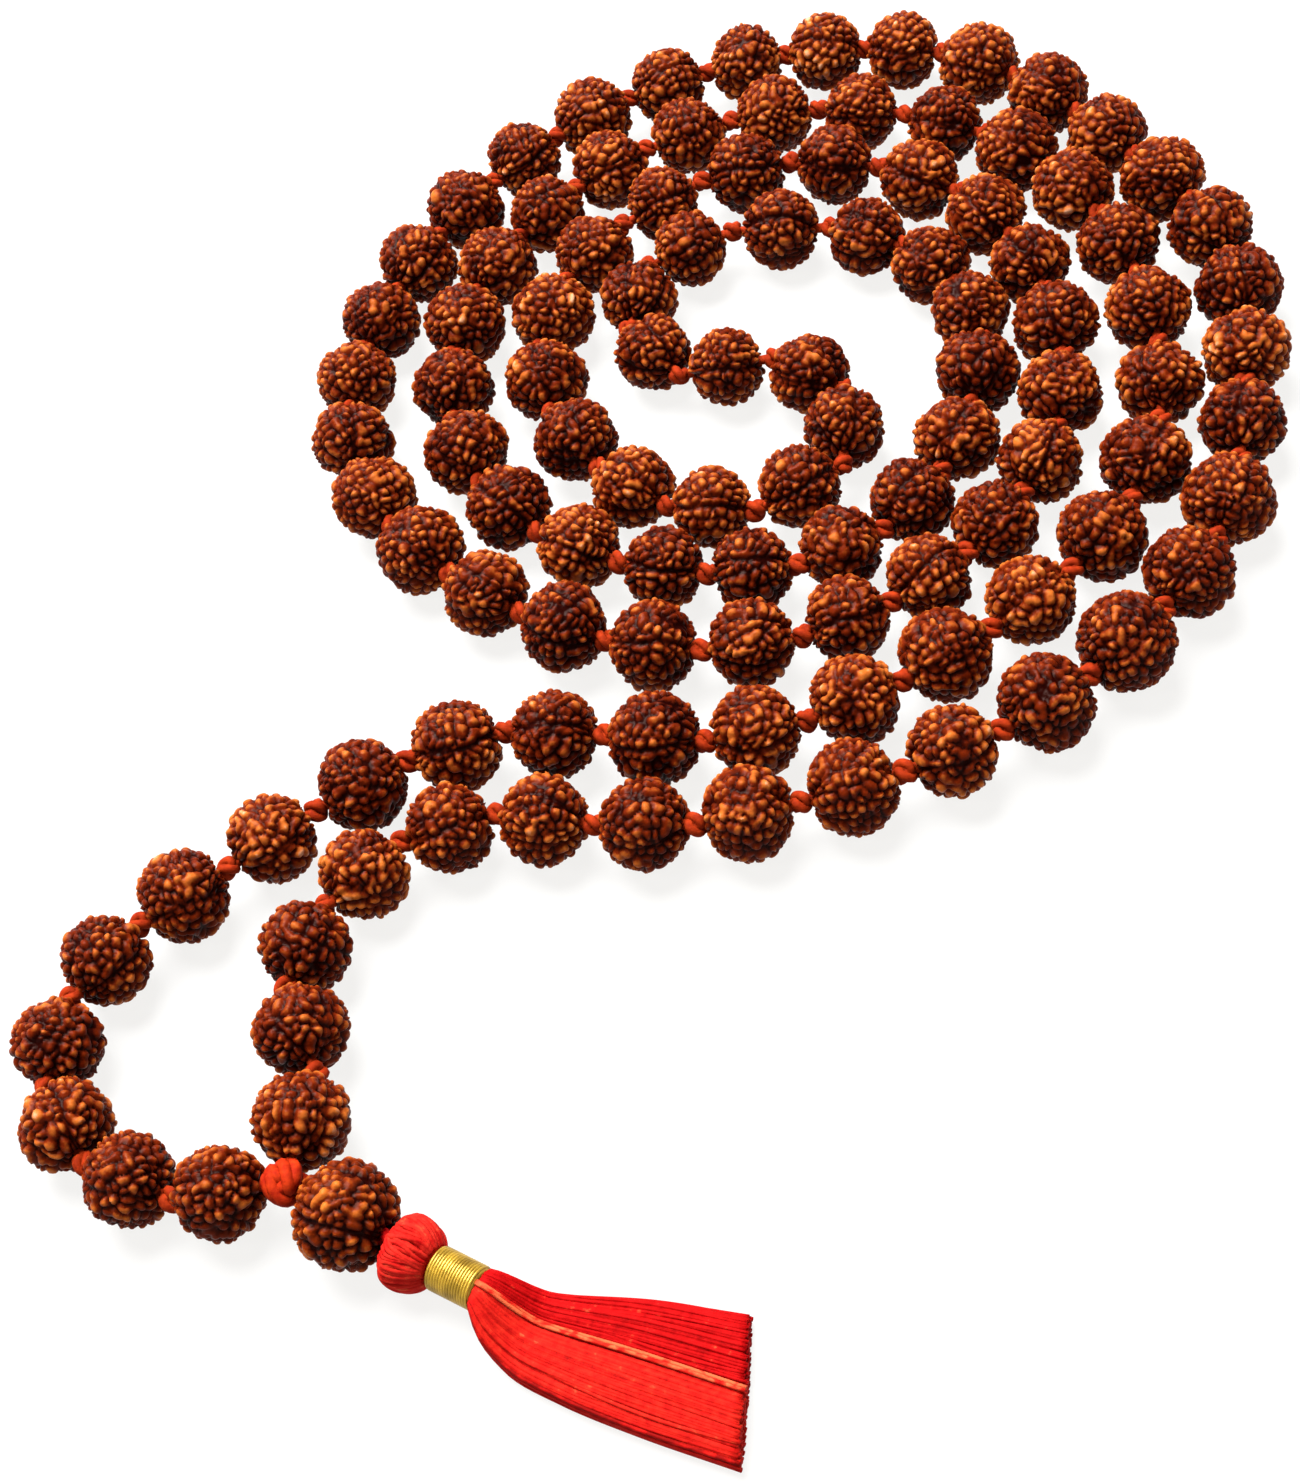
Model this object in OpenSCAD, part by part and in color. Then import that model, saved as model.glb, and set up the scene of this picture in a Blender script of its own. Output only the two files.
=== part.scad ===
// Knotted mala: 108 counted seed beads and a guru bead on one knotted thread,
// with a tassel. It lies flat: the doubled strand is wound into a spiral, and
// the loop with the guru bead and the tassel reaches out of it.
// Millimetres, +Z up, the origin in the middle of the base, on what it lies on.

/* [Seed beads] */
// Nominal diameter of a counted seed
seed_d = 8.1; // [7.6:0.1:8.2]
// How far seeds differ from that size, as a share of it
size_spread = 0.03; // [0:0.01:0.04]
// Diameter of the two larger seeds on the outer turn
large_seed_d = 8.9; // [8:0.1:9]
// Length of a seed along its hole, as a share of its diameter
seed_length = 0.92; // [0.86:0.01:0.96]
// Hole drilled through a seed
hole_d = 1.2; // [1.1:0.05:1.4]
// Least room left between two seeds
seed_room = 0.3; // [0.2:0.05:0.5]

/* [Thread] */
// Thickness of the stringing thread
thread_d = 1; // [0.7:0.05:1]
// Diameter of the knot between two seeds
knot_d = 2.3; // [1.8:0.1:2.3]
// Diameter of the knot that joins both ends of the strand
joining_knot_d = 3.8; // [3.2:0.1:3.9]
// Diameter of the knot that holds the guru bead
stopper_d = 1.8; // [1.5:0.1:2]
// Room between a knot and the piece that turns on it
knot_room = 0.15; // [0.1:0.05:0.2]

/* [Guru bead] */
// Diameter of the guru bead
guru_d = 8.6; // [8:0.1:8.6]
// Direction in which it leaves the joining knot, in degrees
guru_yaw = -47; // [-60:1:-40]

/* [Tassel] */
// Direction of the tassel, in degrees
tassel_yaw = -46; // [-54:1:-38]
// Diameter of the round head
head_d = 6.2; // [5.8:0.1:6.2]
// Diameter of the folded yarn inside the head and the wrap
core_d = 2.6; // [2.6:0.1:3]
// Outer diameter of the gold wrap
wrap_d = 3.6; // [3.4:0.1:4]
// Length of the gold wrap
wrap_length = 4.2; // [3.6:0.1:4.4]
// Thickness of the skirt where it lies flat
skirt_h = 2.2; // [1.6:0.1:2.6]

/* [Hidden] */
$fn = 48;
fine_gap = 0.1;

// The strand from the joining knot round to it again: x, y of a knot, and the
// number of seeds between it and the next one.
ROUTE = [
    [-43, -43, 1], [-52, -41, 2], [-61, -27, 1], [-58, -19, 2], [-43, -11, 3],
    [-17, -6, 2], [-1, -14, 3], [25, -12, 2], [41, -3, 2], [50, 14, 2],
    [51, 33, 2], [45, 49, 4], [13, 63, 4], [-12, 42, 2], [-13, 24, 2],
    [-3, 9, 3], [20, 3, 2], [32, 14, 2], [36, 30, 2], [27, 43, 1],
    [18, 47, 1], [9, 46, 1], [5, 38, 1], [8, 30, 1], [17, 28, 1],
    [22, 21, 1], [19, 12, 1], [10, 10, 2], [-2, 21, 4], [8, 53, 4],
    [40, 42, 2], [43, 25, 2], [38, 8, 4], [10, -6, 4], [-18, 14, 2],
    [-24, 31, 4], [-10, 60, 4], [22, 72, 3], [45, 63, 3], [57, 39, 2],
    [60, 22, 2], [55, 6, 2], [46, -10, 2], [31, -20, 4], [-4, -22, 3],
    [-28, -14, 2], [-40, -25, 1], [-39, -34, 1], [-43, -43, 0]
];
LARGE_SEEDS = [97, 98];
// Seeds that turn on their own, and the groups that share a node
SINGLE_SEEDS = [for (i = [1:10]) i, 49, 50, 51, for (i = [102:108]) i];
SEED_GROUPS = [
    [11, 18], [19, 26], [27, 34], [35, 41], [42, 48], [52, 58],
    [59, 65], [66, 72], [73, 80], [81, 87], [88, 94], [95, 101]
];
// Stretches of thread: name, first and last knot, and which of those two knots
// are tied in this stretch
THREADS = [
    ["thread_front_left", 0, 6, false, false],
    ["thread_front_right", 104, 108, false, false],
    ["thread_middle_left", 6, 8, true, false],
    ["thread_middle_right", 103, 104, false, true],
    ["thread_near_left", 8, 10, true, false],
    ["thread_near_right", 101, 103, false, true],
    ["thread_coil_1", 10, 22, true, false],
    ["thread_coil_2", 22, 35, true, false],
    ["thread_coil_3", 35, 48, true, true],
    ["thread_fold", 48, 51, false, false],
    ["thread_coil_4", 51, 68, true, false],
    ["thread_coil_5", 68, 84, true, false],
    ["thread_coil_6", 84, 101, true, true]
];

function digits(i) = i < 10 ? str("00", i) : i < 100 ? str("0", i) : str(i);
function seed_name(i) = str("bead_", digits(i));
function group_name(g) = str("beads_", digits(g[0]), "_", digits(g[1]));

// A smooth curve through the route's points: each heading is that of the circle
// through three points, and a stretch between two points bends like an arc.
last = len(ROUTE) - 1;
function unit(v) = v / norm(v);
function point(i) = [ROUTE[i][0], ROUTE[i][1]];
function span(i) = point(i + 1) - point(i);
function heading(i) =
    i == 0 ? unit(span(0)) :
    i == last ? unit(span(last - 1)) :
    unit(unit(span(i - 1)) * norm(span(i)) + unit(span(i)) * norm(span(i - 1)));
function pull(i, j) = heading(j) * 2 * norm(span(i)) / (1 + unit(span(i)) * heading(j));
function curve(i, t) =
    (2 * t * t * t - 3 * t * t + 1) * point(i)
    + (t * t * t - 2 * t * t + t) * pull(i, i)
    + (3 * t * t - 2 * t * t * t) * point(i + 1)
    + (t * t * t - t * t) * pull(i, i + 1);

// Every knot in plan, from the joining knot round to it again
plan = concat(
    [for (i = [0:last - 1]) for (k = [0:ROUTE[i][2] - 1]) curve(i, k / ROUTE[i][2])],
    [point(last)]
);
seeds = len(plan) - 1;

// A seed sits halfway between its two knots. The first and the last one stand
// further from the joining knot, which is larger than the others.
end_gap = 1.3;
function end_share(i) = (1 - end_gap / norm(plan[i] - plan[i - 1])) / 2;
function share(i) = i == 1 ? 1 - end_share(1) : i == seeds ? end_share(seeds) : 0.5;
middles = [for (i = [1:seeds]) plan[i - 1] + (plan[i] - plan[i - 1]) * share(i)];

// A seed has its own size, or less where its neighbours stand close
function own_size(i) =
    len(search(i, LARGE_SEEDS)) > 0 ? large_seed_d
    : seed_d * (1 + size_spread * sin(137 * i));
function nearest(i) =
    min([for (j = [1:seeds]) if (j != i) norm(middles[j - 1] - middles[i - 1])]);
sizes = [for (i = [1:seeds]) min(own_size(i), nearest(i) - seed_room)];

// The knots are held up by the larger of the two seeds beside them
joint_z = max(sizes[0], sizes[seeds - 1], guru_d) / 2;
function knot_z(k) = k == 0 || k == seeds ? joint_z : max(sizes[k - 1], sizes[k]) / 2;
knots = [for (k = [0:seeds]) [plan[k][0], plan[k][1], knot_z(k)]];
// Direction in plan of the outer side of the bend at a knot
function outer_side(k) =
    let(u = unit(plan[k] - plan[k - 1]), v = unit(plan[k + 1] - plan[k]), w = u + v)
    (u - v) * [-w[1], w[0]] >= 0 ? atan2(w[0], -w[1]) : atan2(-w[0], w[1]);
function tied_d(k) = k == 0 || k == seeds ? joining_knot_d : knot_d;

// The guru bead and the tassel hang on the joining knot
guru_at = 6.3;
stopper_at = 10.5;
function joint_way(r) = [knots[0][0] + r * cos(guru_yaw), knots[0][1] + r * sin(guru_yaw)];
head_z = head_d / 2;
// The head is a ball pressed against the guru bead, with a seat for the knot
head_at = 1.3;
head_face_at = 0.4;
core_at = 2;
wrap_at = 4.1;
skirt_at = wrap_at + wrap_length;
skirt_flat_at = 12;
// The loop leaves the stopper knot below its middle, and enters the core
loop_z = head_z + 0.6;
// The bundle of each half of the skirt: a slice of it at the wrap, and the
// block that it ends in, higher than the flat part
bundle_slice = 0.2;
bundle_end = 1.2;
bundle_rise = 0.4;
// Outlines of the flat part of the two halves, x along the tassel
BACK = [
    [12, 0.5], [20.5, 1.7], [29.5, 3], [26.7, 7.9], [19.8, 5.9], [12, 2.8],
];
FRONT = [
    [12, 0.2], [12, -3.9], [17.5, -4.1], [24, -3.6], [32.2, -2.4], [29.5, 2.9],
    [20.5, 1.6],
];

// Stands its children's Z axis along a vector
module aim(v) {
    rotate([0, acos(v[2] / norm(v)), atan2(v[1], v[0])]) children();
}

// Half of a seed's section, its hole upward: back and ahead are how far off its
// two knots lie
module seed_section(d, back, ahead, back_d, ahead_d) {
    difference() {
        intersection() {
            circle(d = d);
            translate([hole_d / 2, -d * seed_length / 2])
            square([d, d * seed_length]);
        }
        translate([0, -back])
        circle(d = back_d + 2 * knot_room);
        translate([0, ahead])
        circle(d = ahead_d + 2 * knot_room);
    }
}

module seed(i) {
    from = knots[i - 1];
    to = knots[i];
    back = norm(to - from) * share(i);
    color([0.50, 0.20 + 0.04 * sin(77 * i), 0.06])
    translate(from)
    aim(to - from)
    translate([0, 0, back])
    rotate_extrude()
    seed_section(sizes[i - 1], back, norm(to - from) - back, tied_d(i - 1), tied_d(i));
}

module seed_group(g) {
    for (i = [g[0]:g[1]]) seed(i);
}

// How far from knot k a stretch of thread starts: inside the knot if it is tied
// in this stretch, else just clear of it
function start_at(k, tied) = tied ? knot_d / 4 : tied_d(k) / 2 + knot_room;

module thread(t) {
    first = t[1];
    final = t[2];
    color([0.80, 0.24, 0.10])
    union() {
        for (i = [first + 1:final]) {
            from = knots[i - 1];
            to = knots[i];
            start = start_at(i - 1, i - 1 > first || t[3]);
            stop = start_at(i, i < final || t[4]);
            translate(from)
            aim(to - from)
            translate([0, 0, start])
            cylinder(d = thread_d, h = norm(to - from) - start - stop);
        }
        for (k = [first:final])
        if ((k > first || t[3]) && (k < final || t[4]))
        translate(knots[k])
        rotate(outer_side(k))
        sphere(d = knot_d);
    }
}

module joining_knot() {
    color([0.82, 0.16, 0.08])
    translate(knots[0])
    sphere(d = joining_knot_d);
}

// Its children stand on the joining knot, with Z along the guru bead's hole
module on_joint() {
    translate(knots[0])
    rotate([0, 90, guru_yaw])
    children();
}

module guru_string() {
    near = joining_knot_d / 2 + knot_room;
    far = stopper_at - stopper_d / 2 - knot_room;
    color([0.82, 0.16, 0.08])
    on_joint()
    translate([0, 0, near])
    cylinder(d = thread_d, h = far - near);
}

module guru_bead() {
    color([0.52, 0.23, 0.07])
    on_joint()
    translate([0, 0, guru_at])
    rotate_extrude()
    seed_section(guru_d, guru_at, stopper_at - guru_at, joining_knot_d, stopper_d);
}

module stopper_knot() {
    color([0.86, 0.13, 0.13])
    on_joint()
    translate([0, 0, stopper_at])
    sphere(d = stopper_d);
}

// Its children stand on the floor below the stopper knot, X along the tassel
module on_tassel() {
    translate([joint_way(stopper_at)[0], joint_way(stopper_at)[1], 0])
    rotate(tassel_yaw)
    children();
}

// Its children stand on the tassel's axis, with Z along it
module on_tassel_axis() {
    on_tassel()
    translate([0, 0, head_z])
    rotate([0, 90, 0])
    children();
}

module tassel_loop() {
    start = stopper_d / 2 + knot_room;
    color([0.86, 0.13, 0.13])
    on_tassel()
    translate([start, 0, loop_z])
    rotate([0, 90, 0])
    cylinder(d = thread_d, h = core_at - start);
}

module tassel_core() {
    color([0.75, 0.08, 0.12])
    on_tassel_axis()
    translate([0, 0, core_at])
    cylinder(d = core_d, h = skirt_at - core_at);
}

module tassel_head() {
    color([0.93, 0.16, 0.20])
    difference() {
        on_tassel_axis()
        rotate_extrude()
        difference() {
            intersection() {
                translate([0, head_at])
                circle(d = head_d);
                translate([0, head_face_at])
                square([head_d, head_d]);
            }
            translate([-1, core_at])
            square([core_d / 2 + 1, head_d]);
        }
        on_tassel()
        translate([0, 0, loop_z])
        rotate([0, 90, 0])
        cylinder(d = hole_d, h = core_at + fine_gap);
        on_tassel()
        translate([0, 0, joint_z])
        sphere(d = stopper_d + 2 * knot_room);
    }
}

module gold_wrap() {
    color([0.85, 0.66, 0.16])
    on_tassel_axis()
    translate([0, 0, wrap_at])
    rotate_extrude()
    translate([core_d / 2, 0])
    square([(wrap_d - core_d) / 2, wrap_length]);
}

// One half of the skirt: a flat part on the floor and the bundle that rises
// from it to the wrap
module skirt(outline, side) {
    half = side * (wrap_d + fine_gap) / 2;
    low = min(outline[0][1], outline[side > 0 ? 5 : 1][1]);
    high = max(outline[0][1], outline[side > 0 ? 5 : 1][1]);
    on_tassel()
    union() {
        linear_extrude(skirt_h)
        polygon(outline);
        hull() {
            translate([skirt_at, 0, head_z])
            intersection() {
                rotate([0, 90, 0])
                cylinder(d = wrap_d, h = bundle_slice, $fn = 32);
                translate([0, half, 0])
                cube([wrap_d, wrap_d, 2 * wrap_d], center = true);
            }
            translate([skirt_flat_at, low, 0])
            cube([bundle_end, high - low, skirt_h + bundle_rise]);
        }
    }
}

module skirt_back() {
    color([0.85, 0.05, 0.07])
    skirt(BACK, 1);
}

module skirt_front() {
    color([0.96, 0.16, 0.13])
    skirt(FRONT, -1);
}

for (i = SINGLE_SEEDS) seed(i);
for (g = SEED_GROUPS) seed_group(g);
for (t = THREADS) thread(t);
joining_knot();
guru_string();
guru_bead();
stopper_knot();
tassel_loop();
tassel_core();
tassel_head();
gold_wrap();
skirt_back();
skirt_front();
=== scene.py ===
"""Knotted mala of 108 rudraksha seeds with a guru seed and a tassel.

The strand lies flat, doubled and wound into a spiral. Lengths are in metres
unless a name says otherwise: seeds, knots and yarns are worked out in
millimetres and scaled when their mesh is made.
"""

import math

import bpy
import numpy as np
from mathutils import Matrix, Vector


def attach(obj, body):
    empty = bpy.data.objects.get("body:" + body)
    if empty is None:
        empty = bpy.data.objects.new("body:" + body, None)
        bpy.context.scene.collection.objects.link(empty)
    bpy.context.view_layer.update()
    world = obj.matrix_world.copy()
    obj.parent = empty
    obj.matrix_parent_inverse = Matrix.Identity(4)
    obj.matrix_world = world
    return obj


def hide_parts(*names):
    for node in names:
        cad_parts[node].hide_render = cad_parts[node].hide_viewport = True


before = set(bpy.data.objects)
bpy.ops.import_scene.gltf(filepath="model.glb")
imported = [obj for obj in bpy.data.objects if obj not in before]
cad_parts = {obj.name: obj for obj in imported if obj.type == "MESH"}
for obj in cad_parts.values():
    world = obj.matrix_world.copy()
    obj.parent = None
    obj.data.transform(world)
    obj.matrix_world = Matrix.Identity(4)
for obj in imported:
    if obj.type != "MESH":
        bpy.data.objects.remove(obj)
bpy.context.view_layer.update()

MM = 0.001
TURN = 2 * math.pi


# ---------------------------------------------------------------- the strand

# The strand from the joining knot round to it again: x, y of a knot, and the
# number of seeds between it and the next one.
ROUTE = [
    (-0.043, -0.043, 1), (-0.052, -0.041, 2), (-0.061, -0.027, 1),
    (-0.058, -0.019, 2), (-0.043, -0.011, 3), (-0.017, -0.006, 2),
    (-0.001, -0.014, 3), (0.025, -0.012, 2), (0.041, -0.003, 2),
    (0.050, 0.014, 2), (0.051, 0.033, 2), (0.045, 0.049, 4),
    (0.013, 0.063, 4), (-0.012, 0.042, 2), (-0.013, 0.024, 2),
    (-0.003, 0.009, 3), (0.020, 0.003, 2), (0.032, 0.014, 2),
    (0.036, 0.030, 2), (0.027, 0.043, 1), (0.018, 0.047, 1),
    (0.009, 0.046, 1), (0.005, 0.038, 1), (0.008, 0.030, 1),
    (0.017, 0.028, 1), (0.022, 0.021, 1), (0.019, 0.012, 1),
    (0.010, 0.010, 2), (-0.002, 0.021, 4), (0.008, 0.053, 4),
    (0.040, 0.042, 2), (0.043, 0.025, 2), (0.038, 0.008, 4),
    (0.010, -0.006, 4), (-0.018, 0.014, 2), (-0.024, 0.031, 4),
    (-0.010, 0.060, 4), (0.022, 0.072, 3), (0.045, 0.063, 3),
    (0.057, 0.039, 2), (0.060, 0.022, 2), (0.055, 0.006, 2),
    (0.046, -0.010, 2), (0.031, -0.020, 4), (-0.004, -0.022, 3),
    (-0.028, -0.014, 2), (-0.040, -0.025, 1), (-0.039, -0.034, 1),
    (-0.043, -0.043, 0),
]
# Stretches of thread: name, body, CAD nodes, first and last knot, and whether
# each of those two knots is tied in this stretch
THREADS = [
    ("thread_coil_outer", "coil", ["thread_coil_1", "thread_coil_2", "thread_coil_3"],
     10, 48, True, True),
    ("thread_coil_inner", "coil", ["thread_coil_4", "thread_coil_5", "thread_coil_6"],
     51, 101, True, True),
    ("thread_loop_left", "front_loop", ["thread_front_left"], 0, 6, False, False),
    ("thread_loop_right", "front_loop", ["thread_front_right"], 104, 108, False, False),
    ("thread_mid_left", "strand_middle", ["thread_middle_left"], 6, 8, True, False),
    ("thread_mid_right", "strand_middle", ["thread_middle_right"], 103, 104, False, True),
    ("thread_rear_left", "strand_near", ["thread_near_left"], 8, 10, True, False),
    ("thread_rear_right", "strand_near", ["thread_near_right"], 101, 103, False, True),
    ("thread_tip", "fold_tip", ["thread_fold"], 48, 51, False, False),
]
SINGLE_SEEDS = [*range(1, 11), 49, 50, 51, *range(102, 109)]
SEED_GROUPS = [
    (11, 18), (19, 26), (27, 34), (35, 41), (42, 48), (52, 58),
    (59, 65), (66, 72), (73, 80), (81, 87), (88, 94), (95, 101),
]
LARGE_SEEDS = (97, 98)

# The same sizes as the CAD, in millimetres
SEED_D = 8.1
SIZE_SPREAD = 0.03
LARGE_SEED_D = 8.9
SEED_ROOM = 0.3
HOLE_D = 1.2
THREAD_D = 1.0
KNOT_D = 2.3
JOINING_KNOT_D = 3.8
STOPPER_D = 1.8
KNOT_ROOM = 0.15
END_GAP = 1.3
GURU_D = 8.6
GURU_YAW = math.radians(-47)
GURU_AT = 6.3
STOPPER_AT = 10.5
TASSEL_YAW = math.radians(-46)
HEAD_D = 6.2
HEAD_Z = HEAD_D / 2
HEAD_AT = 1.3
HEAD_FACE_AT = 0.4
HEAD_SWELL = 0.5
WRAP_AT = 4.1
WRAP_D = 3.6
WRAP_LENGTH = 4.2
SKIRT_AT = WRAP_AT + WRAP_LENGTH


def unit(v):
    return v / np.linalg.norm(v)


def knots_in_plan():
    """Every knot, in millimetres: a smooth curve through the route's points."""
    points = np.array([p[:2] for p in ROUTE]) / MM
    counts = [p[2] for p in ROUTE]
    steps = np.diff(points, axis=0)
    spans = np.linalg.norm(steps, axis=1)
    ways = steps / spans[:, None]
    headings = [ways[0]]
    for i in range(1, len(ways)):
        headings.append(unit(ways[i - 1] * spans[i] + ways[i] * spans[i - 1]))
    headings.append(ways[-1])
    knots = []
    for i in range(len(ways)):
        leave = headings[i] * 2 * spans[i] / (1 + ways[i] @ headings[i])
        arrive = headings[i + 1] * 2 * spans[i] / (1 + ways[i] @ headings[i + 1])
        for k in range(counts[i]):
            t = k / counts[i]
            knots.append(
                (2 * t**3 - 3 * t**2 + 1) * points[i]
                + (t**3 - 2 * t**2 + t) * leave
                + (3 * t**2 - 2 * t**3) * points[i + 1]
                + (t**3 - t**2) * arrive
            )
    return np.array(knots + [points[-1]])


PLAN = knots_in_plan()
SEEDS = len(PLAN) - 1


def share(i):
    """How far along from knot i - 1 to knot i seed i sits."""
    end = (1 - END_GAP / np.linalg.norm(PLAN[i] - PLAN[i - 1])) / 2
    return 1 - end if i == 1 else end if i == SEEDS else 0.5


def seed_sizes():
    """Diameters in millimetres, smaller where a neighbour leaves too little room."""
    middles = np.array(
        [PLAN[i - 1] + (PLAN[i] - PLAN[i - 1]) * share(i) for i in range(1, SEEDS + 1)]
    )
    apart = np.linalg.norm(middles[:, None] - middles[None], axis=2)
    apart += np.eye(SEEDS) * 1000
    own = [
        LARGE_SEED_D
        if i in LARGE_SEEDS
        else SEED_D * (1 + SIZE_SPREAD * math.sin(math.radians(137 * i)))
        for i in range(1, SEEDS + 1)
    ]
    return np.minimum(own, apart.min(axis=1) - SEED_ROOM)


SIZES = seed_sizes()
JOINT_Z = max(SIZES[0], SIZES[-1], GURU_D) / 2
KNOTS = np.array(
    [
        [*PLAN[k], JOINT_Z if k in (0, SEEDS) else max(SIZES[k - 1], SIZES[k]) / 2]
        for k in range(SEEDS + 1)
    ]
)


def way(yaw):
    """The level direction at an angle from X."""
    return np.array([math.cos(yaw), math.sin(yaw), 0.0])


STOPPER = KNOTS[0] + STOPPER_AT * way(GURU_YAW)


# ------------------------------------------------------------- mesh building


def make_piece(name, points_mm, quads, tris, material, layers):
    """A smooth-shaded mesh object. layers holds a number for each point by name."""
    faces = [quads.astype(np.int32), tris.astype(np.int32)]
    corners = np.concatenate([f.ravel() for f in faces])
    totals = np.concatenate([np.full(len(f), f.shape[1], np.int32) for f in faces])
    starts = np.concatenate([[0], np.cumsum(totals)[:-1]]).astype(np.int32)
    mesh = bpy.data.meshes.new(name)
    mesh.vertices.add(len(points_mm))
    mesh.vertices.foreach_set("co", (points_mm * MM).astype(np.float32).ravel())
    mesh.loops.add(len(corners))
    mesh.loops.foreach_set("vertex_index", corners)
    mesh.polygons.add(len(totals))
    mesh.polygons.foreach_set("loop_start", starts)
    mesh.update(calc_edges=True)
    mesh.shade_smooth()
    for layer, values in layers.items():
        attribute = mesh.attributes.new(layer, "FLOAT", "POINT")
        attribute.data.foreach_set("value", np.asarray(values, np.float32))
    mesh.materials.append(material)
    piece = bpy.data.objects.new(name, mesh)
    bpy.context.scene.collection.objects.link(piece)
    return piece


class Build:
    """Collects the points and faces of several solids for one piece."""

    def __init__(self):
        self.points, self.quads, self.tris, self.layers = [], [], [], {}
        self.count = 0

    def add(self, points, quads, tris=(), **layers):
        self.points.append(points)
        self.quads.append(np.asarray(quads, int).reshape(-1, 4) + self.count)
        self.tris.append(np.asarray(tris, int).reshape(-1, 3) + self.count)
        for layer, values in layers.items():
            values = np.broadcast_to(values, len(points))
            self.layers.setdefault(layer, []).append(values)
        self.count += len(points)

    def piece(self, name, material):
        layers = {k: np.concatenate(v) for k, v in self.layers.items()}
        return make_piece(
            name, np.concatenate(self.points), np.concatenate(self.quads),
            np.concatenate(self.tris), material, layers,
        )


def grid_quads(rings, sides, closed_rings=False):
    """Quads of a grid of rings of points, its sides closed round."""
    j = np.arange(rings if closed_rings else rings - 1)[:, None]
    k = np.arange(sides)[None]
    after_j, after_k = (j + 1) % rings, (k + 1) % sides
    here, there = j * sides, after_j * sides
    corners = [here + k, there + k, there + after_k, here + after_k]
    return np.stack(corners, axis=-1).reshape(-1, 4)


def frames_along(path, closed=False):
    """For each point of a path, its direction and two directions across it that
    turn as little as possible from one point to the next."""
    if closed:
        ahead = np.roll(path, -1, axis=0) - np.roll(path, 1, axis=0)
    else:
        ahead = np.gradient(path, axis=0)
    ahead /= np.linalg.norm(ahead, axis=1)[:, None]
    first = np.cross(ahead[0], [0.0, 0.0, 1.0])
    if np.linalg.norm(first) < 0.1:
        first = np.cross(ahead[0], [1.0, 0.0, 0.0])
    across = [unit(first)]
    for i in range(1, len(path)):
        v = across[-1] - ahead[i] * (across[-1] @ ahead[i])
        across.append(unit(v))
    across = np.array(across)
    if closed:
        last = across[-1] - ahead[0] * (across[-1] @ ahead[0])
        other = np.cross(ahead[0], across[0])
        slip = math.atan2(last @ other, last @ across[0])
        turn = -slip * np.arange(len(path)) / len(path)
        side = np.cross(ahead, across)
        across = across * np.cos(turn)[:, None] + side * np.sin(turn)[:, None]
    return ahead, across, np.cross(ahead, across)


def tube(path, radius, sides, closed=False, plies=0, twist=0.0, ply_depth=0.0):
    """Points and faces of a tube along a path. radius is one number or one for
    each point. plies gives it the lobes of a twisted cord, twist turns in all."""
    path = np.asarray(path, float)
    _, x, y = frames_along(path, closed)
    a = np.arange(sides) / sides * TURN
    r = np.broadcast_to(radius, len(path))[:, None] * np.ones(sides)
    if plies:
        turned = np.arange(len(path))[:, None] / len(path) * TURN * twist
        r = r * (1 - ply_depth * (1 - np.abs(np.cos(plies / 2 * (a[None] - turned)))))
    ring = np.cos(a)[None, :, None] * x[:, None] + np.sin(a)[None, :, None] * y[:, None]
    points = (path[:, None] + ring * r[..., None]).reshape(-1, 3)
    quads = grid_quads(len(path), sides, closed)[:, ::-1]
    if closed:
        return points, quads, []
    n = len(points)
    points = np.concatenate([points, path[:1], path[-1:]])
    k = np.arange(sides)
    after = (k + 1) % sides
    base = (len(path) - 1) * sides
    start = np.stack([np.full(sides, n), after, k], axis=1)
    end = np.stack([np.full(sides, n + 1), base + k, base + after], axis=1)
    return points, quads, np.concatenate([start, end])


def waves(points, rng, frequency, count=14):
    """Smooth noise of mean 0 and about unit size: a sum of random plane waves."""
    heads = rng.normal(size=(count, 3))
    lengths = np.linalg.norm(heads, axis=1)[:, None]
    heads *= frequency * rng.uniform(0.6, 1.4, (count, 1)) / lengths
    starts = rng.uniform(0, TURN, count)
    return np.cos(points @ heads.T + starts).sum(axis=1) * math.sqrt(2 / count)


def turned_to(direction, spin):
    """Rotation matrix that stands the Z axis along direction, after a spin about Z."""
    z = unit(np.asarray(direction, float))
    x = unit(np.cross([0.0, 0.0, 1.0], z)) if abs(z[2]) < 0.99 else np.array([1.0, 0, 0])
    y = np.cross(z, x)
    c, s = math.cos(spin), math.sin(spin)
    return np.stack([x * c + y * s, y * c - x * s, z], axis=1)


# ----------------------------------------------------------------- materials


def new_material(name):
    material = bpy.data.materials.new(name)
    material.use_nodes = True
    tree = material.node_tree
    return material, tree, tree.nodes["Principled BSDF"]


def add_node(tree, kind, **values):
    made = tree.nodes.new(kind)
    for key, value in values.items():
        if hasattr(made, key):
            setattr(made, key, value)
        else:
            made.inputs[key.replace("_", " ")].default_value = value
    return made


def ramp(tree, stops):
    made = tree.nodes.new("ShaderNodeValToRGB")
    elements = made.color_ramp.elements
    while len(elements) < len(stops):
        elements.new(0.5)
    for element, (position, colour) in zip(elements, stops):
        element.position = position
        element.color = (*colour, 1)
    return made


def math_node(tree, operation, a, b):
    made = tree.nodes.new("ShaderNodeMath")
    made.operation = operation
    for socket, value in zip(made.inputs, (a, b)):
        if isinstance(value, (int, float)):
            socket.default_value = value
        else:
            tree.links.new(value, socket)
    return made.outputs[0]


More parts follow.
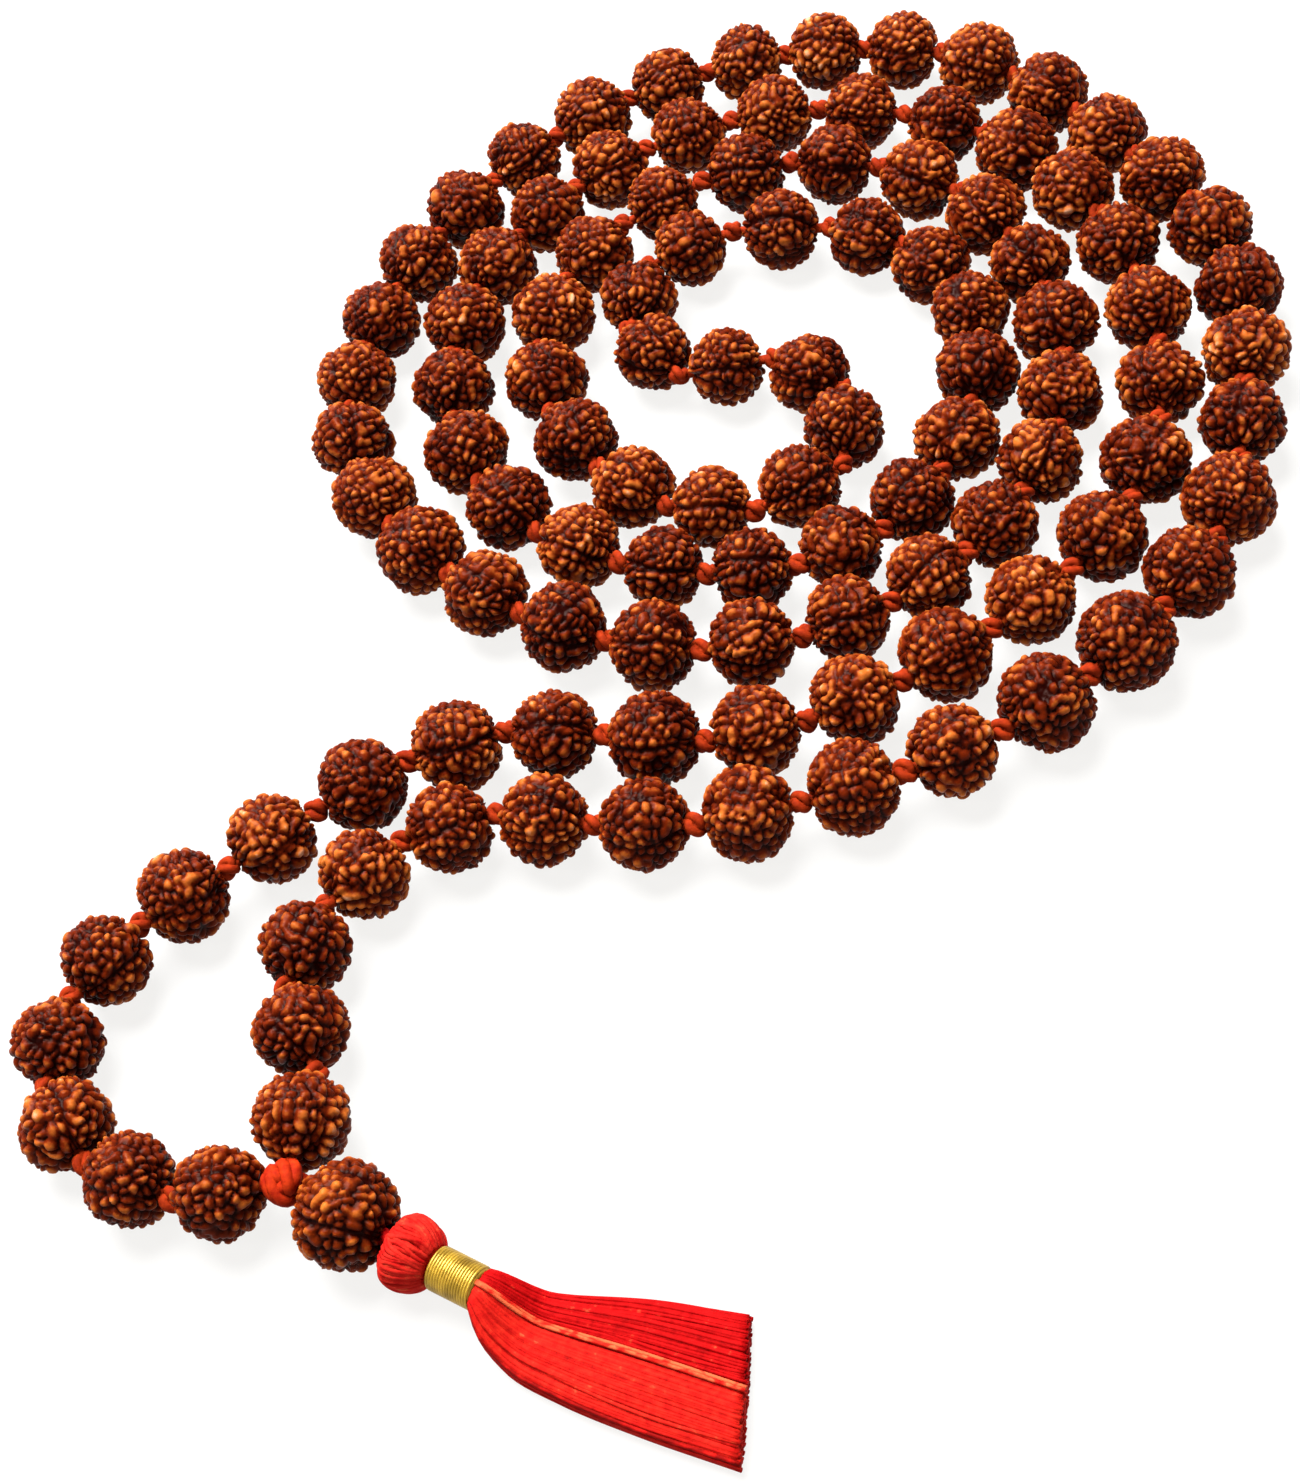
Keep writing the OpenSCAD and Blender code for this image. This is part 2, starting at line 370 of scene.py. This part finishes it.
def noise(tree, scale, detail):
    """Noise from 0 to 1 that keeps to the object."""
    where = tree.nodes.new("ShaderNodeTexCoord")
    made = add_node(tree, "ShaderNodeTexNoise", Scale=scale, Detail=detail, Roughness=0.55)
    tree.links.new(where.outputs["Object"], made.inputs["Vector"])
    return made.outputs["Fac"]


def bump(tree, shader, height, strength, distance):
    made = add_node(tree, "ShaderNodeBump", Strength=strength, Distance=distance)
    tree.links.new(height, made.inputs["Height"])
    tree.links.new(made.outputs["Normal"], shader.inputs["Normal"])


# colours from the crevices, partly painted shade, to the knob tips, painted highlight
SEED_COLOURS = [
    (0.010, 0.0004, 0.0001), (0.095, 0.0085, 0.0009), (0.34, 0.083, 0.012), (0.48, 0.27, 0.16),
]
GURU_COLOURS = [
    (0.010, 0.0004, 0.0001), (0.105, 0.011, 0.001), (0.37, 0.093, 0.012), (0.48, 0.27, 0.15),
]
# dark and light end of each dyed yarn
THREAD_DYE = (0.13, 0.008, 0.0012), (0.25, 0.022, 0.003)
KNOT_DYE = (0.17, 0.005, 0.001), (0.33, 0.022, 0.003)
HEAD_DYE = (0.27, 0.002, 0.002), (0.40, 0.014, 0.008)
RED_DYE = (0.20, 0.0003, 0.0006), (0.29, 0.002, 0.0022)
BRIGHT_DYE = (0.27, 0.003, 0.002), (0.37, 0.010, 0.005)
GOLD_DARK, GOLD_LIGHT = (0.20, 0.115, 0.006), (0.46, 0.28, 0.025)
# palest strand colour: pale yarn, and along the seam a painted highlight
PALE_YARN_AND_SEAM_HIGHLIGHT = (0.42, 0.07, 0.025)
# sizes of the patterns, as scales of their noise
SEED_PATCH, SEED_SPECK, DYE_PATCH, FIBRE = 310, 2400, 1500, 5200
GOLD_PATCH, GOLD_FIBRE = 900, 4000
YARN_TONE = 0.25
SEED_TONE = 0.065
# how much of a seed's colour comes from its relief, from patches and from specks
SEED_RELIEF, SEED_PATCHES, SEED_SPECKS = 0.75, 0.66, 0.32
FINE_BUMP = 0.00012


def shade(colour, amount):
    return tuple(channel * amount for channel in colour)


def seed_material(name, dark, middle, light, tip):
    """Oiled seed: dark in the crevices, partly its own colour and partly painted
    shade, paler towards the top of the knobs, with painted highlights on the tips."""
    material, tree, shader = new_material(name)
    relief = add_node(tree, "ShaderNodeAttribute", attribute_name="relief").outputs["Fac"]
    tone = add_node(tree, "ShaderNodeAttribute", attribute_name="tone").outputs["Fac"]
    patches = noise(tree, SEED_PATCH, 3)
    fine = noise(tree, SEED_SPECK, 3)
    level = math_node(tree, "MULTIPLY", relief, SEED_RELIEF)
    level = math_node(tree, "ADD", level, math_node(tree, "MULTIPLY", tone, SEED_TONE))
    for pattern, depth in ((patches, SEED_PATCHES), (fine, SEED_SPECKS)):
        shift = math_node(tree, "MULTIPLY", math_node(tree, "SUBTRACT", pattern, 0.5), depth)
        level = math_node(tree, "ADD", level, shift)
    # the first stop is partly painted shade in the crevices, the last is painted highlight on
    # the knob tips
    colours = ramp(tree, [(0.12, dark), (0.45, middle), (0.74, light), (0.93, tip)])
    tree.links.new(level, colours.inputs["Fac"])
    tree.links.new(colours.outputs["Color"], shader.inputs["Base Color"])
    shader.inputs["Roughness"].default_value = 0.32
    shader.inputs["Specular IOR Level"].default_value = 0.04
    shader.inputs["Specular Tint"].default_value = (1, 0.78, 0.66, 1)
    bump(tree, shader, fine, 0.5, FINE_BUMP)
    return material


def yarn_material(name, dark, light, strands=False):
    """Dyed yarn, mottled. With strands, each strand has a tone of its own."""
    material, tree, shader = new_material(name)
    level = noise(tree, DYE_PATCH, 4)
    stops = [(0.3, dark), (0.7, light)]
    if strands:
        tone = add_node(tree, "ShaderNodeAttribute", attribute_name="yarn").outputs["Fac"]
        tone = math_node(tree, "MULTIPLY", math_node(tree, "SUBTRACT", tone, 0.5), YARN_TONE)
        level = math_node(tree, "ADD", level, tone)
        stops = [(0.12, shade(dark, 0.5)), (0.36, dark), (0.70, light), (0.94, PALE_YARN_AND_SEAM_HIGHLIGHT)]
    colours = ramp(tree, stops)
    tree.links.new(level, colours.inputs["Fac"])
    tree.links.new(colours.outputs["Color"], shader.inputs["Base Color"])
    shader.inputs["Roughness"].default_value = 0.7
    shader.inputs["Specular IOR Level"].default_value = 0.03
    bump(tree, shader, noise(tree, FIBRE, 3), 0.35, FINE_BUMP)
    return material


def gold_material():
    material, tree, shader = new_material("gold_thread")
    colours = ramp(tree, [(0.3, GOLD_DARK), (0.7, GOLD_LIGHT)])
    tree.links.new(noise(tree, GOLD_PATCH, 2), colours.inputs["Fac"])
    tree.links.new(colours.outputs["Color"], shader.inputs["Base Color"])
    shader.inputs["Metallic"].default_value = 0.55
    shader.inputs["Roughness"].default_value = 0.36
    bump(tree, shader, noise(tree, GOLD_FIBRE, 2), 0.3, 0.00008)
    return material


# --------------------------------------------------------- stage and camera


CAMERA_AT = (-0.00542, -0.15658, 0.1803)
CAMERA_TILT = math.radians(50.63)
CAMERA_ROLL = math.radians(-18)
CAMERA_LENS = 65.1

FLOOR_HALF = 20.0
FLOOR_Z = -0.00005
FLOOR_COLOUR = (0.08, 0.08, 0.08, 1)
FLOOR_GLOW = (1, 0.99, 0.97, 1)
FLOOR_GLOW_STRENGTH = 0.86
# name, place, target, size and power of each lamp
LAMPS = [
    ("key", (-0.10, 0.38, 0.76), (0, 0.02, 0), 0.75, 40.0),
    ("glint_left", (-0.45, -0.20, 0.60), (0, 0, 0), 0.12, 1.2),
    ("glint_right", (0.40, -0.35, 0.60), (0, 0, 0), 0.12, 0.8),
]


def make_camera():
    ahead = Vector((0, math.cos(CAMERA_TILT), -math.sin(CAMERA_TILT)))
    level = Vector((1, 0, 0))
    rise = Vector((0, math.sin(CAMERA_TILT), math.cos(CAMERA_TILT)))
    right = level * math.cos(CAMERA_ROLL) + rise * math.sin(CAMERA_ROLL)
    up = rise * math.cos(CAMERA_ROLL) - level * math.sin(CAMERA_ROLL)
    data = bpy.data.cameras.new("camera")
    data.lens = CAMERA_LENS
    data.sensor_width = 36
    data.clip_start = 0.01
    camera = bpy.data.objects.new("camera", data)
    camera.matrix_world = Matrix((right, up, -ahead)).transposed().to_4x4()
    camera.matrix_world.translation = Vector(CAMERA_AT)
    bpy.context.scene.collection.objects.link(camera)
    bpy.context.scene.camera = camera


def make_light(name, position, target, size, energy):
    data = bpy.data.lights.new(name, "AREA")
    data.shape = "DISK"
    data.size = size
    data.energy = energy
    light = bpy.data.objects.new(name, data)
    light.location = position
    aim = Vector(target) - Vector(position)
    light.rotation_euler = aim.to_track_quat("-Z", "Y").to_euler()
    bpy.context.scene.collection.objects.link(light)


def make_floor():
    """A light table: white and faintly glowing, so that shadows stay pale."""
    mesh = bpy.data.meshes.new("floor")
    half = FLOOR_HALF
    corners = [(-half, -half, 0), (half, -half, 0), (half, half, 0), (-half, half, 0)]
    mesh.from_pydata(corners, [], [(0, 1, 2, 3)])
    material, _, shader = new_material("floor")
    shader.inputs["Base Color"].default_value = FLOOR_COLOUR
    shader.inputs["Emission Color"].default_value = FLOOR_GLOW
    shader.inputs["Emission Strength"].default_value = FLOOR_GLOW_STRENGTH
    shader.inputs["Roughness"].default_value = 0.9
    shader.inputs["Specular IOR Level"].default_value = 0.0
    mesh.materials.append(material)
    floor = bpy.data.objects.new("floor", mesh)
    floor.location.z = FLOOR_Z
    bpy.context.scene.collection.objects.link(floor)


def make_world():
    """White round the horizon and dim overhead."""
    world = bpy.data.worlds.new("world")
    world.use_nodes = True
    tree = world.node_tree
    background = tree.nodes["Background"]
    background.inputs["Color"].default_value = (1, 1, 1, 1)
    where = tree.nodes.new("ShaderNodeTexCoord")
    split = tree.nodes.new("ShaderNodeSeparateXYZ")
    fall = add_node(
        tree, "ShaderNodeMapRange", From_Min=0.25, From_Max=0.4, To_Min=0.95, To_Max=0.15
    )
    tree.links.new(where.outputs["Generated"], split.inputs["Vector"])
    tree.links.new(split.outputs["Z"], fall.inputs["Value"])
    tree.links.new(fall.outputs["Result"], background.inputs["Strength"])
    bpy.context.scene.world = world


def make_stage():
    make_floor()
    make_world()
    bpy.context.scene.view_settings.view_transform = "Standard"
    for lamp in LAMPS:
        make_light(*lamp)


# -------------------------------------------------------------------- thread

PLIES = 3
PLY_DEPTH = 0.3
PLY_TURN = 2.6
KNOT_CORD_R = 0.42


def wound_knot(centre, along, diameter, cord, spin, rng, strands=1):
    """A pulled-tight knot: a cord that winds as a trefoil about the thread."""
    t = np.arange(60) / 60 * TURN
    reach = diameter / 2 - cord
    parts = []
    for s in range(strands):
        shift = TURN / 12 * s
        ring = (0.62 + 0.38 * np.cos(3 * t + shift)) * reach
        rise = 0.8 * reach * np.sin(3 * t + shift)
        path = np.stack([ring * np.cos(2 * t), ring * np.sin(2 * t), rise], axis=1)
        path *= 1 + 0.06 * rng.normal(size=3)
        path = path @ turned_to(along, spin + s).T + centre
        parts.append(tube(path, cord, 7, closed=True))
    return parts


def thread_path(first, final):
    """The middle of a stretch of thread, from knot to knot, in millimetres."""
    path = []
    for i in range(first + 1, final + 1):
        a, b = KNOTS[i - 1], KNOTS[i]
        steps = np.linspace(0, 1, 13)[:-1] if i < final else np.linspace(0, 1, 13)
        path += [a + (b - a) * t for t in steps]
    return np.array(path)


def make_thread(entry, material):
    """A stretch of twisted thread with the knots that are tied in it."""
    name, body, nodes, first, final, start_tied, end_tied = entry
    path = thread_path(first, final)
    length = np.linalg.norm(np.diff(path, axis=0), axis=1).sum()
    build = Build()
    twist = length / PLY_TURN
    build.add(*tube(path, THREAD_D / 2, 12, plies=PLIES, twist=twist, ply_depth=PLY_DEPTH))
    for k in range(first, final + 1):
        if (k == first and not start_tied) or (k == final and not end_tied):
            continue
        rng = np.random.default_rng(500 + k)
        before = KNOTS[max(k, 1)] - KNOTS[max(k, 1) - 1]
        after = KNOTS[min(k + 1, SEEDS)] - KNOTS[min(k + 1, SEEDS) - 1]
        along = unit(before) + unit(after)
        size = KNOT_D * rng.uniform(0.92, 1.0)
        spin = rng.uniform(0, TURN)
        for part in wound_knot(KNOTS[k], along, size, KNOT_CORD_R, spin, rng):
            build.add(*part)
    piece = build.piece(name, material)
    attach(piece, body)
    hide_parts(*nodes)


# --------------------------------------------------------------------- seeds

SIDES, RINGS = 112, 60
FACES = 5
FACE_LOBE = 0.09
SEED_LUMPS = 0.09
CLEFT_WIDTH = 0.24
END_TO_END = 0.955
KNOB_SPACING = 1.02
# how far the highest knobs stand above the CAD's ball, and how deep the crevices are
KNOB_RISE = 0.22
MOST_LUMP = 0.06
RELIEF = 0.74
# in knob spacings: how far knobs stray, how much they bend, how wide a crevice is
KNOB_STRAY, KNOB_BEND, CREVICE = 0.24, 0.12, 0.30
RIDGE_CHANCE = 0.13
GOLDEN_ANGLE = 2.399963


def knob_relief(directions, count, rng):
    """Relief from 0 in the crevices to 1 on the knobs, some of which run
    together into ridges."""
    k = np.arange(count) + 0.5
    z = 1 - 2 * k / count
    a = k * GOLDEN_ANGLE + rng.uniform(0, TURN)
    ring = np.sqrt(1 - z * z)
    spacing = math.sqrt(2 * TURN / count)
    centres = np.stack([ring * np.cos(a), ring * np.sin(a), z], axis=1)
    centres = centres @ turned_to(rng.normal(size=3), 0).T
    centres += rng.normal(size=centres.shape) * KNOB_STRAY * spacing
    centres /= np.linalg.norm(centres, axis=1)[:, None]
    bend = np.stack([waves(directions, rng, 9) for _ in range(3)], axis=1)
    warped = directions + KNOB_BEND * spacing * bend
    warped /= np.linalg.norm(warped, axis=1)[:, None]
    away = np.sqrt(np.maximum(2 - 2 * (warped @ centres.T), 0)).astype(np.float32)
    nearest = np.argpartition(away, 3, axis=1)[:, :3]
    rows = np.arange(len(away))[:, None]
    order = np.argsort(away[rows, nearest], axis=1)
    nearest = nearest[rows, order]
    d = away[rows, nearest]
    joined = rng.random((count, count)) < RIDGE_CHANCE
    joined |= joined.T
    together = joined[nearest[:, 0], nearest[:, 1]]
    gap = np.where(together, d[:, 2] - d[:, 0], d[:, 1] - d[:, 0]) / spacing
    height = rng.uniform(0.62, 1.0, count)
    lead = 0.5 + 0.5 * np.tanh((d[:, 1] - d[:, 0]) / (0.25 * spacing))
    level = height[nearest[:, 0]] * lead + height[nearest[:, 1]] * (1 - lead)
    dome = 1 - 0.75 * (d[:, 0] / spacing) ** 2
    return np.tanh(gap / CREVICE) * dome * level


def seed_mesh(diameter, back, ahead, back_knot, ahead_knot, rng):
    """Points, quads and relief of a seed with its hole along Z, in millimetres.
    back and ahead are how far off its knots are, and each has a seat in it."""
    r = diameter / 2
    seats = [(ahead, ahead_knot / 2 + KNOT_ROOM), (back, back_knot / 2 + KNOT_ROOM)]
    edges = [math.atan2(HOLE_D / 2, off - math.sqrt(q * q - HOLE_D**2 / 4)) for off, q in seats]
    polar = np.linspace(edges[0], math.pi - edges[1], RINGS + 1)
    round_ = np.arange(SIDES) / SIDES * TURN
    theta, phi = (g.ravel() for g in np.meshgrid(polar, round_, indexing="ij"))
    directions = np.stack(
        [np.sin(theta) * np.cos(phi), np.sin(theta) * np.sin(phi), np.cos(theta)], axis=1
    )
    count = int(2 * TURN * r * r / (0.88 * KNOB_SPACING**2))
    relief = knob_relief(directions, count, rng)
    # the faces are parted by clefts that run from end to end
    wobble = 0.09 * np.sin(2.3 * theta + rng.uniform(0, TURN))
    turn = (phi + wobble) * FACES / TURN
    off_cleft = np.abs(turn - np.round(turn)) * TURN / FACES * np.sin(theta) * r
    cleft = np.exp(-((off_cleft / CLEFT_WIDTH) ** 2)) * rng.uniform(0.25, 0.9)
    relief = relief * (1 - cleft)
    lobes = -FACE_LOBE * np.cos(FACES * (phi + wobble)) * np.sin(theta)
    lumps = SEED_LUMPS * waves(directions, rng, 2.6)
    full = 1 / np.sqrt((np.sin(theta) / r) ** 2 + (np.cos(theta) / (END_TO_END * r)) ** 2)
    swell = KNOB_RISE + np.minimum(lobes + lumps, MOST_LUMP)
    radius = full + swell - RELIEF * (1 - relief)
    for (off, q), side in zip(seats, (1, -1)):
        reach = q * q - (off * np.sin(theta)) ** 2
        seat = side * off * np.cos(theta) - np.sqrt(np.maximum(reach, 0))
        over_seat = (reach > 0) & (side * np.cos(theta) > 0)
        radius = np.where(over_seat, np.minimum(radius, seat), radius)
    points = directions * radius[:, None]
    quads = grid_quads(RINGS + 1, SIDES, closed_rings=True)
    return points, quads, relief


def make_seeds(name, body, numbers, material):
    """The seeds with these numbers as one piece, in place of the CAD node called name."""
    build = Build()
    for i in numbers:
        rng = np.random.default_rng(100 + i)
        a, b = KNOTS[i - 1], KNOTS[i]
        length = np.linalg.norm(b - a)
        back = length * share(i)
        tied = [JOINING_KNOT_D if k in (0, SEEDS) else KNOT_D for k in (i - 1, i)]
        points, quads, relief = seed_mesh(SIZES[i - 1], back, length - back, *tied, rng)
        turned = turned_to(b - a, rng.uniform(0, TURN))
        build.add(
            points @ turned.T + a + (b - a) * share(i), quads,
            relief=relief, tone=rng.uniform(-1, 1),
        )
    piece = build.piece("seed_" + name, material)
    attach(piece, body)
    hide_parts(name)


def make_guru(material):
    """The seed between the joining knot and the tassel."""
    rng = np.random.default_rng(7)
    points, quads, relief = seed_mesh(
        GURU_D, GURU_AT, STOPPER_AT - GURU_AT, JOINING_KNOT_D, STOPPER_D, rng
    )
    build = Build()
    turned = turned_to(way(GURU_YAW), 1.0)
    middle = KNOTS[0] + GURU_AT * way(GURU_YAW)
    build.add(points @ turned.T + middle, quads, relief=relief, tone=-0.5)
    piece = build.piece("seed_guru", material)
    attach(piece, "guru_bead")
    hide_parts("guru_bead")


# -------------------------------------------------------------------- tassel

HEAD_YARN_R = 0.21
SKIRT_YARN_R = 0.17
SKIRT_RINGS = 34
SKIRT_SETTLE = 0.24
WRAP_CORD_R = 0.15
WRAP_TURNS = 16
# Edges of the two halves of the skirt, as they lie: x along the tassel, y across
SEAM = [(8.3, 0), (12, 0.25), (20.5, 1.65), (29.6, 2.95)]
TOP_EDGE = [(8.3, 1.6), (12, 2.7), (19.8, 5.8), (26.9, 7.9)]
LOW_EDGE = [(8.3, -1.6), (10, -3.1), (12.5, -3.9), (17.5, -4.1), (24, -3.6), (32.2, -2.4)]


def tassel_point(x, y, z):
    """A point of the tassel: x along it from the stopper knot, y across, z up."""
    along, across = way(TASSEL_YAW), way(TASSEL_YAW + math.pi / 2)
    base = np.array([STOPPER[0], STOPPER[1], 0.0])
    x, y, z = (np.asarray(v, float)[..., None] for v in (x, y, z))
    return base + along * x + across * y + np.array([0, 0, 1.0]) * z


def make_joining_knot(material):
    """The doubled thread tied in one knot, with a turn wound over it."""
    build = Build()
    rng = np.random.default_rng(3)
    for part in wound_knot(KNOTS[0], way(GURU_YAW), JOINING_KNOT_D, 0.55, 0.4, rng, strands=2):
        build.add(*part)
    ball = wound_knot(KNOTS[0], [0.3, 0.2, 1], JOINING_KNOT_D * 0.85, 0.6, 2.0, rng)
    build.add(*ball[0])
    piece = build.piece("knot_joining", material)
    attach(piece, "joining_knot")
    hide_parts("joining_knot")


def make_guru_string(material):
    build = Build()
    steps = np.linspace(0.5, STOPPER_AT - 0.4, 24)
    path = KNOTS[0] + steps[:, None] * way(GURU_YAW)
    build.add(*tube(path, THREAD_D / 2, 12, plies=PLIES, twist=4, ply_depth=PLY_DEPTH))
    piece = build.piece("guru_cord", material)
    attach(piece, "guru_string")
    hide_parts("guru_string")


def make_stopper(material):
    build = Build()
    rng = np.random.default_rng(11)
    for part in wound_knot(STOPPER, way(GURU_YAW), STOPPER_D, 0.36, 0.0, rng):
        build.add(*part, yarn=0.5)
    piece = build.piece("knot_stopper", material)
    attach(piece, "stopper_knot")
    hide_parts("stopper_knot")


def head_profile(u, depth):
    """Distance along the tassel and radius of the ball, pressed flat against the
    guru seed. u runs from 0 at its middle there to 1 at the wrap."""
    a = math.pi * (1 - u)
    near = np.cos(a) < 0
    flat = (HEAD_AT - HEAD_FACE_AT) / (HEAD_D / 2)
    along = np.where(near, flat, 1) * (HEAD_D / 2 - depth) * np.cos(a)
    return HEAD_AT + along, (HEAD_D / 2 - depth) * np.sin(a) ** np.where(near, 0.45, 1)


def make_head(material):
    """Yarn folded over the loop and drawn together at the neck. Below the loop it
    swells back round the guru seed."""
    build = Build()
    rng = np.random.default_rng(21)
    x, ring = head_profile(np.linspace(0.04, 0.84, 24), 0.3)
    build.add(*tube(tassel_point(x, 0 * x, HEAD_Z + 0 * x), ring, 48), yarn=0.5)
    u = np.linspace(0.04, 0.83, 30)
    swell = HEAD_SWELL * np.clip(1 - u / 0.5, 0, 1) * np.clip(u / 0.25, 0, 1)
    for depth, count in ((0.26, 52), (0.16, 56)):
        for k in range(count):
            x, ring = head_profile(u, depth + 0.10 * rng.random())
            lean = rng.normal() * 0.35
            phi = (k + rng.uniform(-0.4, 0.4)) / count * TURN
            phi = phi + lean * (u - 0.5) + 0.05 * np.sin(u * rng.uniform(8, 16) + phi)
            x = x - swell * np.maximum(1 - np.sin(phi), 0.8)
            path = tassel_point(x, ring * np.cos(phi), HEAD_Z + ring * np.sin(phi))
            radius = HEAD_YARN_R * rng.uniform(0.85, 1.15)
            build.add(*tube(path, radius, 6), yarn=0.55 + 0.5 * rng.random())
    piece = build.piece("tassel_ball", material)
    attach(piece, "tassel")
    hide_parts("tassel_head", "tassel_core")


def make_loop(material):
    """The two legs of the loop that the tassel hangs by."""
    build = Build()
    t = np.linspace(0, 1, 12)
    for side in (-1, 1):
        across = side * 0.3 * np.sin(math.pi * t)
        z = JOINT_Z - 0.3 - 0.4 * t + side * 0.12
        build.add(*tube(tassel_point(0.3 + 1.8 * t, across, z), 0.3, 8), yarn=0.5)
    piece = build.piece("tassel_cord_loop", material)
    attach(piece, "tassel")
    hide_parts("tassel_loop")


def make_wrap(material):
    """Gold thread wound round the neck, turn beside turn."""
    build = Build()
    t = np.linspace(0, 1, WRAP_TURNS * 40)
    a = t * TURN * WRAP_TURNS
    r = WRAP_D / 2 - WRAP_CORD_R
    x = WRAP_AT + WRAP_CORD_R + t * (WRAP_LENGTH - 2 * WRAP_CORD_R)
    path = tassel_point(x, r * np.cos(a), HEAD_Z + r * np.sin(a))
    build.add(*tube(path, WRAP_CORD_R, 6))
    x = np.linspace(WRAP_AT + 0.1, SKIRT_AT - 0.1, 6)
    build.add(*tube(tassel_point(x, np.zeros(6), np.full(6, HEAD_Z)), r - 0.02, 32))
    piece = build.piece("tassel_gold_wrap", material)
    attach(piece, "tassel")
    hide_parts("gold_wrap")


def smooth_line(points, count):
    """A smooth curve through a few points, with count points evenly along it."""
    p = np.array(points, float)
    t = np.concatenate([[0], np.cumsum(np.linalg.norm(np.diff(p, axis=0), axis=1))])
    slopes = np.gradient(p, t, axis=0)
    s = np.linspace(0, t[-1], count)
    i = np.clip(np.searchsorted(t, s, side="right") - 1, 0, len(p) - 2)
    h = t[i + 1] - t[i]
    u = ((s - t[i]) / h)[:, None]
    h = h[:, None]
    return (
        (2 * u**3 - 3 * u**2 + 1) * p[i]
        + (u**3 - 2 * u**2 + u) * h * slopes[i]
        + (3 * u**2 - 2 * u**3) * p[i + 1]
        + (u**3 - u**2) * h * slopes[i + 1]
    )


def make_skirt(name, node, edge, thickness, count, layers, trims, material, seed):
    """Half of the skirt: loose yarn ends between the seam and an edge, in several
    layers. trims holds single strands that lie on top: how far across, and the
    tone, high for pale strands and low for dark; pale strands by the seam paint a highlight."""
    rng = np.random.default_rng(seed)
    build = Build()
    a, b = smooth_line(SEAM, SKIRT_RINGS), smooth_line(edge, SKIRT_RINGS)
    t = np.linspace(0, 1, SKIRT_RINGS)
    settle = np.clip(t / SKIRT_SETTLE, 0, 1)
    settle = settle * settle * (3 - 2 * settle)
    neck_r = WRAP_D / 2 - 0.25
    for layer in range(layers):
        height = (layer + 0.5) / layers
        for k in range(count):
            v = np.clip((k + 0.5 + rng.uniform(-0.4, 0.4)) / count, 0.01, 0.99)
            line = a + (b - a) * v
            drift = rng.normal() * 0.10 * np.sin(t * math.pi * rng.uniform(0.6, 2.2))
            bulge = max(1 - (2 * v - 1) ** 2, 0.0) ** 0.35
            # in the wrap the yarn is a round bundle, and past it a flat one
            lie = 0.15 + height * (thickness * (0.35 + 0.65 * bulge) - 0.25)
            neck = HEAD_Z + (2 * height - 1) * neck_r * math.sqrt(max(1 - v * v, 0.04))
            radius = SKIRT_YARN_R * rng.uniform(0.85, 1.15)
            z = np.maximum(neck + (lie - neck) * settle + rng.normal() * 0.05, radius)
            trim = 1 - abs(rng.normal()) * 0.010
            x = line[0, 0] + (line[:, 0] - line[0, 0]) * trim
            path = tassel_point(x, line[:, 1] + drift, z)
            build.add(*tube(path, radius, 6), yarn=rng.random())
    for v, tone in trims:
        line = a + (b - a) * v
        top = 0.15 + thickness * (0.35 + 0.65 * (1 - (2 * v - 1) ** 2) ** 0.35)
        neck = HEAD_Z + neck_r * math.sqrt(1 - v * v)
        z = neck + (top - neck) * settle
        points, quads, ends = tube(tassel_point(line[:, 0], line[:, 1], z), SKIRT_YARN_R, 6)
        build.add(points, quads, ends, yarn=tone + 0.6 * waves(points, rng, 9))
    piece = build.piece(name, material)
    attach(piece, "tassel")
    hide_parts(node)


# -------------------------------------------------------------------- making

make_camera()
thread_look = yarn_material("thread", *THREAD_DYE)
for entry in THREADS:
    make_thread(entry, thread_look)
make_stage()

seed_look = seed_material("seed", *SEED_COLOURS)
guru_look = seed_material("guru_seed", *GURU_COLOURS)
for i in SINGLE_SEEDS:
    make_seeds(f"bead_{i:03d}", f"bead_{i:03d}", [i], seed_look)
for first, final in SEED_GROUPS:
    make_seeds(f"beads_{first:03d}_{final:03d}", "coil", range(first, final + 1), seed_look)

red_look = yarn_material("tassel_yarn", *RED_DYE, strands=True)
bright_look = yarn_material("tassel_bright", *BRIGHT_DYE, strands=True)
head_look = yarn_material("tassel_head", *HEAD_DYE, strands=True)
knot_look = yarn_material("joining_knot", *KNOT_DYE)
make_guru(guru_look)
make_joining_knot(knot_look)
make_guru_string(thread_look)
make_stopper(red_look)
make_loop(red_look)
make_head(head_look)
make_wrap(gold_material())
make_skirt(
    "tassel_skirt_back", "skirt_back", TOP_EDGE, 1.8, 42, 5, [], red_look, 31
)
# the front half's two pale strands by the seam are a painted highlight along the fold, dotted
# by their wavy tone
make_skirt(
    "tassel_skirt_front", "skirt_front", LOW_EDGE, 2.3, 56, 5,
    [(0.02, 2.3), (0.09, 1.6), (0.985, -0.7)], bright_look, 32,
)
